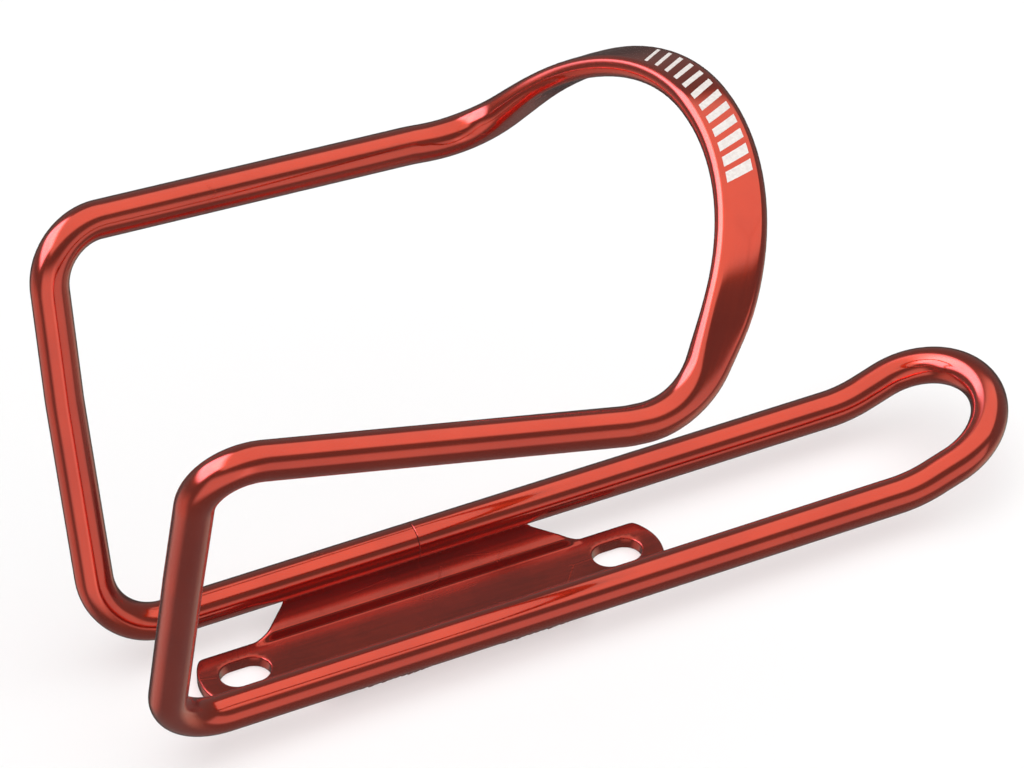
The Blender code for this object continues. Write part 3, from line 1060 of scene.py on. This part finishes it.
def dye_drift_group():
    """The dye's slow drift in depth over the metal."""
    tree, entry, leave = new_group(
        "dye_drift",
        "ShaderNodeTree",
        [
            ("Place", "NodeSocketVector", None),
            ("Patch Size", "NodeSocketFloat", 0.012),
            ("Light Dye", "NodeSocketColor", (1, 0, 0, 1)),
            ("Deep Dye", "NodeSocketColor", (0.5, 0, 0, 1)),
        ],
        [("Color", "NodeSocketColor"), ("Depth", "NodeSocketFloat")],
    )
    inverse = sums(tree, "DIVIDE", 1.0, entry["Patch Size"])
    place = vectors(tree, "SCALE", entry["Place"], scale=inverse)
    cloud = put(tree, "ShaderNodeTexNoise", Vector=place, Scale=1.0, Detail=3.0, Roughness=0.55)
    depth = fade(tree, cloud.outputs["Fac"], 0.32, 0.68)
    colour = put(tree, "ShaderNodeMix", {"data_type": "RGBA"})
    tree.links.new(depth, colour.inputs["Factor"])
    colour_inputs = [s for s in colour.inputs if s.type == "RGBA"]
    tree.links.new(entry["Light Dye"], colour_inputs[0])
    tree.links.new(entry["Deep Dye"], colour_inputs[1])
    colour_output = [s for s in colour.outputs if s.type == "RGBA"][0]
    tree.links.new(colour_output, leave["Color"])
    tree.links.new(depth, leave["Depth"])
    return tree


def grain_group():
    """Fine lines left by drawing, rolling or turning, long one way and thin the others."""
    tree, entry, leave = new_group(
        "drawn_grain",
        "ShaderNodeTree",
        [
            ("Place", "NodeSocketVector", None),
            ("Line Width", "NodeSocketVector", (0.0001, 0.0001, 0.01)),
            ("Smoothest", "NodeSocketFloat", 0.15),
            ("Roughest", "NodeSocketFloat", 0.25),
        ],
        [("Roughness", "NodeSocketFloat"), ("Height", "NodeSocketFloat")],
    )
    place = vectors(tree, "DIVIDE", entry["Place"], entry["Line Width"])
    lines = put(tree, "ShaderNodeTexNoise", Vector=place, Scale=1.0, Detail=4.0, Roughness=0.6)
    spread = sums(tree, "SUBTRACT", entry["Roughest"], entry["Smoothest"])
    strength = fade(tree, lines.outputs["Fac"], 0.3, 0.7)
    rough = sums(tree, "ADD", sums(tree, "MULTIPLY", strength, spread), entry["Smoothest"])
    tree.links.new(rough, leave["Roughness"])
    tree.links.new(lines.outputs["Fac"], leave["Height"])
    return tree


def scuff_group():
    """Sparse hair scratches, as thin crooked cell borders broken up by a cloud."""
    tree, entry, leave = new_group(
        "hair_scuffs",
        "ShaderNodeTree",
        [
            ("Place", "NodeSocketVector", None),
            ("Stretch", "NodeSocketVector", (0.004, 0.004, 0.02)),
            ("Scratch Width", "NodeSocketFloat", 0.015),
            ("Amount", "NodeSocketFloat", 0.3),
        ],
        [("Mask", "NodeSocketFloat")],
    )
    place = vectors(tree, "DIVIDE", entry["Place"], entry["Stretch"])
    cells = put(tree, "ShaderNodeTexVoronoi", {"feature": "DISTANCE_TO_EDGE"}, Vector=place, Scale=1.0)
    line = fade(tree, cells.outputs["Distance"], 0.0, entry["Scratch Width"], 1.0, 0.0)
    cloud = put(tree, "ShaderNodeTexNoise", Vector=place, Scale=0.9, Detail=2.0)
    broken = fade(tree, cloud.outputs["Fac"], 0.52, 0.66)
    mask = sums(tree, "MULTIPLY", sums(tree, "MULTIPLY", line, broken), entry["Amount"])
    tree.links.new(mask, leave["Mask"])
    return tree


def use_group(tree, group, **inputs):
    node = tree.nodes.new("ShaderNodeGroup")
    node.node_tree = group
    for name, value in inputs.items():
        fill(tree, node.inputs[name.replace("_", " ")], value)
    return node.outputs


def blank_material(name):
    material = bpy.data.materials.new(name)
    material.use_nodes = True
    tree = material.node_tree
    return material, tree, tree.nodes["Principled BSDF"]


def anodised_metal(name, groups, place_name, look):
    """Dyed anodised aluminium: a tinted metal under a clear, glassy oxide skin."""
    material, tree, shader = blank_material(name)
    if place_name == "Object":
        place = put(tree, "ShaderNodeTexCoord").outputs["Object"]
    else:
        place = put(tree, "ShaderNodeAttribute", {"attribute_name": place_name}).outputs["Vector"]
    dye = use_group(
        tree,
        groups["dye"],
        Place=put(tree, "ShaderNodeTexCoord").outputs["Object"],
        Patch_Size=look["patch"],
        Light_Dye=(*look["light"], 1),
        Deep_Dye=(*look["deep"], 1),
    )
    grain = use_group(
        tree,
        groups["grain"],
        Place=place,
        Line_Width=look["grain"],
        Smoothest=look["rough"][0],
        Roughest=look["rough"][1],
    )
    tree.links.new(dye["Color"], shader.inputs["Base Color"])
    if look["scuff"] > 0:
        scuff = use_group(
            tree,
            groups["scuff"],
            Place=place,
            Stretch=look["scuff_stretch"],
            Scratch_Width=SCRATCH_WIDTH,
            Amount=look["scuff"],
        )
        added = sums(tree, "MULTIPLY", scuff["Mask"], SCRATCH_ROUGHNESS)
        tree.links.new(sums(tree, "ADD", grain["Roughness"], added), shader.inputs["Roughness"])
        coat = sums(tree, "SUBTRACT", look["coat"], scuff["Mask"], clamp=True)
        tree.links.new(coat, shader.inputs["Coat Weight"])
    else:
        tree.links.new(grain["Roughness"], shader.inputs["Roughness"])
        shader.inputs["Coat Weight"].default_value = look["coat"]
    shader.inputs["Metallic"].default_value = 1.0
    shader.inputs["Coat IOR"].default_value = look["coat_ior"]
    shader.inputs["Coat Roughness"].default_value = look["coat_rough"]
    shader.inputs["Sheen Weight"].default_value = look["haze"]
    shader.inputs["Sheen Roughness"].default_value = HAZE_ROUGHNESS
    shader.inputs["Sheen Tint"].default_value = HAZE_TINT
    bump = put(tree, "ShaderNodeBump", Strength=look["bump"], Distance=GRAIN_DEPTH)
    tree.links.new(grain["Height"], bump.inputs["Height"])
    tree.links.new(bump.outputs["Normal"], shader.inputs["Normal"])
    return material


def bare_metal(groups):
    """Turned aluminium, with its tool lines running round the bar."""
    material, tree, shader = blank_material("turned_aluminium")
    place = put(tree, "ShaderNodeTexCoord").outputs["Object"]
    dye = use_group(
        tree,
        groups["dye"],
        Place=place,
        Patch_Size=2.0 * MM,
        Light_Dye=(0.80, 0.80, 0.81, 1),
        Deep_Dye=(0.66, 0.66, 0.67, 1),
    )
    grain = use_group(
        tree,
        groups["grain"],
        Place=place,
        Line_Width=(0.08 * MM, 3 * MM, 3 * MM),
        Smoothest=0.28,
        Roughest=0.45,
    )
    tree.links.new(dye["Color"], shader.inputs["Base Color"])
    tree.links.new(grain["Roughness"], shader.inputs["Roughness"])
    shader.inputs["Metallic"].default_value = 1.0
    bump = put(tree, "ShaderNodeBump", Strength=0.3, Distance=0.03 * MM)
    tree.links.new(grain["Height"], bump.inputs["Height"])
    tree.links.new(bump.outputs["Normal"], shader.inputs["Normal"])
    return material


def white_print(groups):
    """Thin white ink with a slightly uneven cover."""
    material, tree, shader = blank_material("white_print")
    place = put(tree, "ShaderNodeTexCoord").outputs["Object"]
    dye = use_group(
        tree,
        groups["dye"],
        Place=place,
        Patch_Size=0.5 * MM,
        Light_Dye=(0.78, 0.74, 0.71, 1),
        Deep_Dye=(0.68, 0.62, 0.59, 1),
    )
    tree.links.new(dye["Color"], shader.inputs["Base Color"])
    rough = sums(tree, "ADD", sums(tree, "MULTIPLY", dye["Depth"], 0.15), 0.42)
    tree.links.new(rough, shader.inputs["Roughness"])
    return material


# ---------------------------------------------------------------- studio


def soft_panel_group():
    """How much of a soft-edged square lamp far away lies in a direction."""
    tree, entry, leave = new_group(
        "soft_panel",
        "ShaderNodeTree",
        [
            ("Direction", "NodeSocketVector", None),
            ("Facing", "NodeSocketVector", None),
            ("Across", "NodeSocketVector", None),
            ("Rising", "NodeSocketVector", None),
            ("Half Width", "NodeSocketFloat", 0.8),
            ("Half Height", "NodeSocketFloat", 0.8),
            ("Soft Edge", "NodeSocketFloat", 0.15),
        ],
        [("Light", "NodeSocketFloat")],
    )
    facing = vectors(tree, "DOT_PRODUCT", entry["Direction"], entry["Facing"])
    safe = sums(tree, "MAXIMUM", facing, NEAREST_FACING)

    def share(axis, half):
        place = vectors(tree, "DOT_PRODUCT", entry["Direction"], axis)
        place = sums(tree, "ABSOLUTE", sums(tree, "DIVIDE", place, safe))
        low = sums(tree, "SUBTRACT", half, entry["Soft Edge"])
        high = sums(tree, "ADD", half, entry["Soft Edge"])
        return fade(tree, place, low, high, 1.0, 0.0)

    both = sums(
        tree,
        "MULTIPLY",
        share(entry["Across"], entry["Half Width"]),
        share(entry["Rising"], entry["Half Height"]),
    )
    ahead = sums(tree, "GREATER_THAN", facing, NEAREST_FACING)
    tree.links.new(sums(tree, "MULTIPLY", both, ahead), leave["Light"])
    return tree


def compass(azimuth, elevation):
    """Unit vector that looks out from the cage. Azimuth 0 is -Y, and 90 is +X."""
    a, e = math.radians(azimuth), math.radians(elevation)
    return Vector((math.sin(a) * math.cos(e), -math.cos(a) * math.cos(e), math.sin(e)))


# azimuth, elevation, half width, half height, soft edge, colour
PANELS = (
    (180.0, 89.5, 1.10, 0.78, 0.13, (0.80, 0.74, 0.63)),
    (-36.0, -6.0, 0.55, 0.46, 0.20, (0.60, 0.60, 0.56)),
    (18.0, -1.0, 0.60, 0.36, 0.12, (0.47, 0.47, 0.44)),
    (-116.0, -34.0, 0.50, 0.40, 0.25, (0.36, 0.23, 0.18)),
    (85.0, -40.0, 0.50, 0.30, 0.25, (0.27, 0.34, 0.26)),
    (-122.0, 37.0, 0.60, 0.36, 0.14, (3.0, 3.1, 4.1)),
    (155.0, -32.0, 0.95, 0.62, 0.28, (-0.115, -0.125, -0.115)),  # a black card behind
)
SURROUND = (0.165, 0.170, 0.160)
BACKDROP = (0.97, 0.97, 0.97)
FLOOR_GAP = 0.05 * MM  # keeps the floor off the plate's flat back
FLOOR_HALF_WIDTH = 6.0
WASH_WIDTH = 4.5
WASH_PLACE = Vector((0.3, -0.4, 2.4))
WASH_POWER = 64.0
FILL_POWER = 164.0
NEAREST_FACING = 0.001  # a direction this square to a lamp's, or behind it, misses the lamp


def studio_world():
    """Soft lamps on a dark surround, and a pale backdrop wherever the eye looks past."""
    world = bpy.data.worlds.new("studio")
    bpy.context.scene.world = world
    world.use_nodes = True
    tree = world.node_tree
    background = tree.nodes["Background"]
    direction = put(tree, "ShaderNodeTexCoord").outputs["Generated"]
    panel = soft_panel_group()
    total = SURROUND
    for azimuth, elevation, wide, tall, edge, colour in PANELS:
        facing = compass(azimuth, elevation)
        across = Vector((0, 0, 1)).cross(facing).normalized()
        light = use_group(
            tree,
            panel,
            Direction=direction,
            Facing=facing,
            Across=across,
            Rising=facing.cross(across),
            Half_Width=wide,
            Half_Height=tall,
            Soft_Edge=edge,
        )
        total = vectors(tree, "ADD", vectors(tree, "SCALE", colour, scale=light["Light"]), total)
    ray = put(tree, "ShaderNodeLightPath").outputs["Is Camera Ray"]
    unseen = vectors(tree, "SCALE", total, scale=sums(tree, "SUBTRACT", 1.0, ray))
    mixed = vectors(tree, "ADD", vectors(tree, "SCALE", BACKDROP, scale=ray), unseen)
    tree.links.new(mixed, background.inputs["Color"])
    background.inputs["Strength"].default_value = 1.0
    world.cycles_visibility.diffuse = False


def make_floor():
    """A pale floor that only shows from above, so the cage can be seen from underneath."""
    mesh_data = bpy.data.meshes.new("floor")
    half = FLOOR_HALF_WIDTH
    corners = [(-half, -half, 0), (half, -half, 0), (half, half, 0), (-half, half, 0)]
    mesh_data.from_pydata(corners, [], [(0, 1, 2, 3)])
    material, tree, shader = blank_material("pale_floor")
    shader.inputs["Base Color"].default_value = (0.9, 0.9, 0.9, 1)
    shader.inputs["Roughness"].default_value = 0.9
    shader.inputs["Specular IOR Level"].default_value = 0.0
    underside = put(tree, "ShaderNodeNewGeometry").outputs["Backfacing"]
    tree.links.new(sums(tree, "SUBTRACT", 1.0, underside), shader.inputs["Alpha"])
    mesh_data.materials.append(material)
    floor = bpy.data.objects.new("floor", mesh_data)
    floor.location.z = -FLOOR_GAP
    bpy.context.scene.collection.objects.link(floor)
    floor.visible_glossy = False
    floor.visible_shadow = False


def make_wash(name, power, shadow):
    """A broad overhead light for the floor and the print. The metal doesn't mirror it."""
    light = bpy.data.lights.new(name, "AREA")
    light.shape = "SQUARE"
    light.size = WASH_WIDTH
    light.energy = power
    light.use_shadow = shadow
    lamp = bpy.data.objects.new(name, light)
    lamp.location = WASH_PLACE
    lamp.visible_camera = False
    lamp.visible_glossy = False
    bpy.context.scene.collection.objects.link(lamp)
    lamp.rotation_euler = (-WASH_PLACE).to_track_quat("-Z", "Y").to_euler()


def make_camera():
    back = compass(CAMERA_AZIMUTH, CAMERA_ELEVATION)
    right = Vector((0, 0, 1)).cross(back).normalized()
    up = back.cross(right)
    roll = math.radians(CAMERA_ROLL)
    across = right * math.cos(roll) + up * math.sin(roll)
    rising = up * math.cos(roll) - right * math.sin(roll)
    data = bpy.data.cameras.new("camera")
    data.sensor_width = SENSOR_WIDTH
    data.lens = CAMERA_LENS
    data.clip_start, data.clip_end = CLIP_RANGE
    camera = bpy.data.objects.new("camera", data)
    bpy.context.scene.collection.objects.link(camera)
    turn = Matrix((across, rising, back)).transposed().to_4x4()
    camera.matrix_world = Matrix.Translation(CAMERA_TARGET + back * CAMERA_DISTANCE) @ turn
    bpy.context.scene.camera = camera


def main():
    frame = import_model()
    groups = {"dye": dye_drift_group(), "grain": grain_group(), "scuff": scuff_group()}
    section = pressed_section_group()
    stations = path_stations()
    red_tube = anodised_metal("red_tube", groups, "wrap", TUBE_LOOK)
    attach(make_tube(stations, section, red_tube), "cage_tube")
    red_plate_with_painted_shade = anodised_metal("red_plate_with_painted_shade", groups, "Object", PLATE_LOOK_WITH_PAINTED_SHADE)
    attach(make_plate(red_plate_with_painted_shade), "mounting_plate")
    make_welds(anodised_metal("red_weld", groups, "Object", WELD_LOOK))
    attach(make_mark(stations, section, white_print(groups)), None)
    spigot = frame["nodes"]["joint_spigot"]
    spigot.material_slots[0].material = bare_metal(groups)
    studio_world()
    make_floor()
    make_wash("wash", WASH_POWER, True)
    make_wash("fill", FILL_POWER, False)
    make_camera()
    bpy.context.scene.view_settings.view_transform = "Standard"


main()
